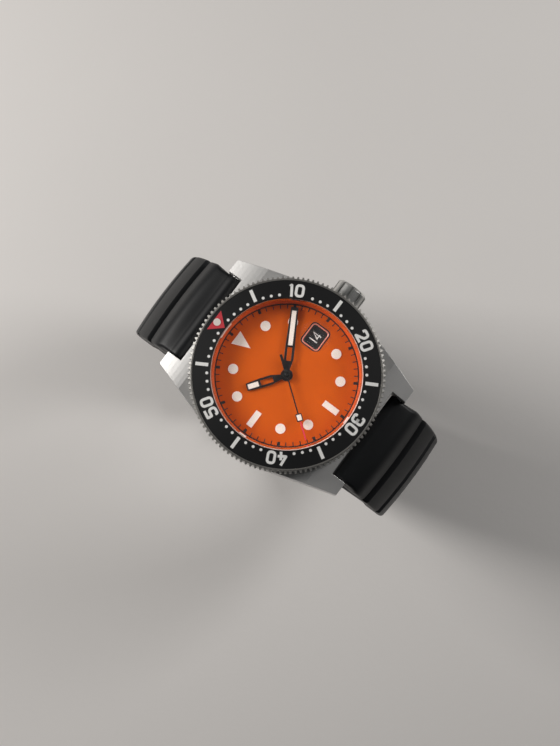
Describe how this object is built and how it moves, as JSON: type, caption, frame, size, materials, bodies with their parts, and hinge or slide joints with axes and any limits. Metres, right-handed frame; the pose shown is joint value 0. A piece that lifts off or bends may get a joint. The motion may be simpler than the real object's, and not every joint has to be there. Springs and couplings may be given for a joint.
{
  "type": "dive watch",
  "caption": "Dive watch: turning coin-edge bezel, orange dial with framed hands and date, automatic movement inside, and a ribbed rubber strap buckled as worn.",
  "frame": {"origin": "on the hand axis, at the outer face of the caseback", "axes": "+Z is the way the dial faces, +X points to 3 o'clock (the crown), +Y to 12 o'clock"},
  "size_m": [0.043, 0.0668, 0.0637],
  "materials": {
    "titanium": "bead-blasted titanium",
    "bezel_metal": "blasted titanium with a bright coin edge",
    "crown_metal": "satin titanium",
    "insert_black": "satin black ceramic with white printed minutes",
    "sapphire": "clear sapphire",
    "gasket_white": "moulded nylon",
    "gasket_black": "nitrile",
    "dial_orange": "satin lacquer, orange, darker at one side",
    "rehaut_orange": "satin lacquer",
    "lume": "luminous compound",
    "hand_black": "satin black",
    "date_black": "printed disc, white numerals",
    "movement_plate": "nickel-plated, sand-grained",
    "bridge_metal": "rhodium-plated, striped",
    "gear_brass": "polished brass",
    "steel": "hardened, fine-brushed",
    "blued_steel": "blued",
    "ruby": "synthetic ruby",
    "movement_holder": "moulded",
    "strap_rubber": "matte rubber",
    "buckle_metal": "blasted"
  },
  "bodies": {
    "case": {"case_middle": "titanium", "crown_tube": "steel", "caseback": "titanium", "caseback_gasket": "gasket_black", "crystal": "sapphire", "crystal_gasket": "gasket_white", "date_magnifier": "sapphire", "rehaut_ring": "rehaut_orange", "dial": "dial_orange", "hour_markers": "lume", "movement_ring": "movement_holder", "main_plate": "movement_plate", "barrel_bridge": "bridge_metal", "train_bridge": "bridge_metal", "balance_cock": "bridge_metal", "pallet_bridge": "bridge_metal", "automatic_bridge": "bridge_metal", "rotor_bearing": "steel", "movement_screws": "blued_steel", "jewels": "ruby", "click_spring": "steel", "bezel_wire": "steel", "lug_spring_bars": "steel", "hairspring": "blued_steel"},
    "bezel": {"bezel_ring": "bezel_metal", "bezel_insert": "insert_black", "bezel_pip": "lume"},
    "keyless_works": {"sliding_pinion": "steel", "winding_pinion": "steel"},
    "crown": {"crown": "crown_metal", "winding_stem": "steel", "crown_gasket": "gasket_black"},
    "crown_wheel": {"crown_wheel": "steel"},
    "ratchet": {"ratchet_wheel": "steel", "barrel_arbor": "steel"},
    "barrel": {"barrel": "gear_brass", "mainspring": "steel"},
    "seconds": {"fourth_wheel": "gear_brass", "seconds_hand": "hand_black", "seconds_hand_lume": "lume"},
    "minutes": {"centre_wheel": "gear_brass", "minute_hand": "hand_black", "minute_hand_lume": "lume"},
    "minute_works": {"minute_wheel": "gear_brass"},
    "hours": {"hour_wheel": "gear_brass", "hour_hand": "hand_black", "hour_hand_lume": "lume"},
    "third": {"third_wheel": "gear_brass"},
    "escape": {"escape_wheel": "steel"},
    "pallets": {"pallet_fork": "steel"},
    "balance": {"balance_wheel": "gear_brass"},
    "date": {"date_disc": "date_black"},
    "rotor": {"rotor": "steel"},
    "strap_buckle_half": {"strap_12": "strap_rubber", "keeper_fixed": "strap_rubber", "buckle_bar": "steel"},
    "strap_tail_half": {"strap_6": "strap_rubber"},
    "free_keeper": {"keeper_free": "strap_rubber"},
    "buckle": {"buckle_frame": "buckle_metal"},
    "tang": {"buckle_tang": "buckle_metal"}
  },
  "joints": [
    {"name": "bezel_turn", "type": "hinge", "parent": "case", "child": "bezel", "pos_m": [0, 0, 0.0087], "axis": [0, 0, 1], "continuous": true},
    {"name": "crown_turn", "type": "hinge", "parent": "case", "child": "keyless_works", "pos_m": [0.0197, 0, 0.005], "axis": [1, 0, 0], "continuous": true},
    {"name": "crown_pull", "type": "slide", "parent": "keyless_works", "child": "crown", "axis": [1, 0, 0], "range_m": [0, 0.0018]},
    {"name": "crown_wheel_turn", "type": "hinge", "parent": "case", "child": "crown_wheel", "pos_m": [0.00686, 0, 0.006], "axis": [0, 0, 1], "continuous": true},
    {"name": "ratchet_turn", "type": "hinge", "parent": "case", "child": "ratchet", "pos_m": [0.00315, 0.00546, 0.006], "axis": [0, 0, 1], "continuous": true},
    {"name": "seconds_turn", "type": "hinge", "parent": "case", "child": "seconds", "pos_m": [0, 0, 0.006], "axis": [0, 0, 1], "continuous": true},
    {"name": "minutes_turn", "type": "hinge", "parent": "case", "child": "minutes", "pos_m": [0, 0, 0.006], "axis": [0, 0, 1], "continuous": true},
    {"name": "hours_turn", "type": "hinge", "parent": "case", "child": "hours", "pos_m": [0, 0, 0.006], "axis": [0, 0, 1], "continuous": true},
    {"name": "minute_works_turn", "type": "hinge", "parent": "case", "child": "minute_works", "pos_m": [-0.00282, -0.00103, 0.006], "axis": [0, 0, 1], "continuous": true},
    {"name": "third_turn", "type": "hinge", "parent": "case", "child": "third", "pos_m": [-0.0006, -0.00491, 0.006], "axis": [0, 0, 1], "continuous": true},
    {"name": "escape_turn", "type": "hinge", "parent": "case", "child": "escape", "pos_m": [0.00389, -0.00273, 0.006], "axis": [0, 0, 1], "continuous": true},
    {"name": "barrel_turn", "type": "hinge", "parent": "case", "child": "barrel", "pos_m": [0.00315, 0.00546, 0.006], "axis": [0, 0, 1], "continuous": true},
    {"name": "pallets_rock", "type": "hinge", "parent": "case", "child": "pallets", "pos_m": [0.00409, -0.00532, 0.006], "axis": [0, 0, 1], "range_deg": [-5, 5]},
    {"name": "balance_swing", "type": "hinge", "parent": "case", "child": "balance", "pos_m": [0.00422, -0.00703, 0.006], "axis": [0, 0, 1], "range_deg": [-270, 270]},
    {"name": "date_turn", "type": "hinge", "parent": "case", "child": "date", "pos_m": [0, 0, 0.006], "axis": [0, 0, 1], "continuous": true},
    {"name": "rotor_turn", "type": "hinge", "parent": "case", "child": "rotor", "pos_m": [0, 0, 0.006], "axis": [0, 0, 1], "continuous": true},
    {"name": "strap_buckle_half_swing", "type": "hinge", "parent": "case", "child": "strap_buckle_half", "pos_m": [0, 0.02095, 0.0033], "axis": [1, 0, 0], "range_deg": [0, 50]},
    {"name": "strap_tail_half_swing", "type": "hinge", "parent": "case", "child": "strap_tail_half", "pos_m": [0, -0.02095, 0.0033], "axis": [-1, 0, 0], "range_deg": [0, 50], "deforming": ["strap_6"]},
    {"name": "keeper_slide", "type": "slide", "parent": "strap_buckle_half", "child": "free_keeper", "axis": [0, 0.7811, 0.6244], "range_m": [-0.0015, 0.0015]},
    {"name": "buckle_swing", "type": "hinge", "parent": "strap_buckle_half", "child": "buckle", "pos_m": [0, 0.0051, -0.04561], "axis": [1, 0, 0], "range_deg": [0, 70]},
    {"name": "tang_swing", "type": "hinge", "parent": "buckle", "child": "tang", "pos_m": [0, 0.0051, -0.04561], "axis": [1, 0, 0], "range_deg": [0, 60]}
  ],
  "couplings": [
    {"joint": "minutes_turn", "follows": "seconds_turn", "ratio": 0.016667},
    {"joint": "hours_turn", "follows": "seconds_turn", "ratio": 0.0013889},
    {"joint": "minute_works_turn", "follows": "seconds_turn", "ratio": -0.0055556},
    {"joint": "third_turn", "follows": "seconds_turn", "ratio": -0.13333},
    {"joint": "escape_turn", "follows": "seconds_turn", "ratio": -10},
    {"joint": "barrel_turn", "follows": "seconds_turn", "ratio": -0.0027778},
    {"joint": "crown_wheel_turn", "follows": "crown_turn", "ratio": 0.58333},
    {"joint": "ratchet_turn", "follows": "crown_turn", "ratio": -0.21875}
  ]
}
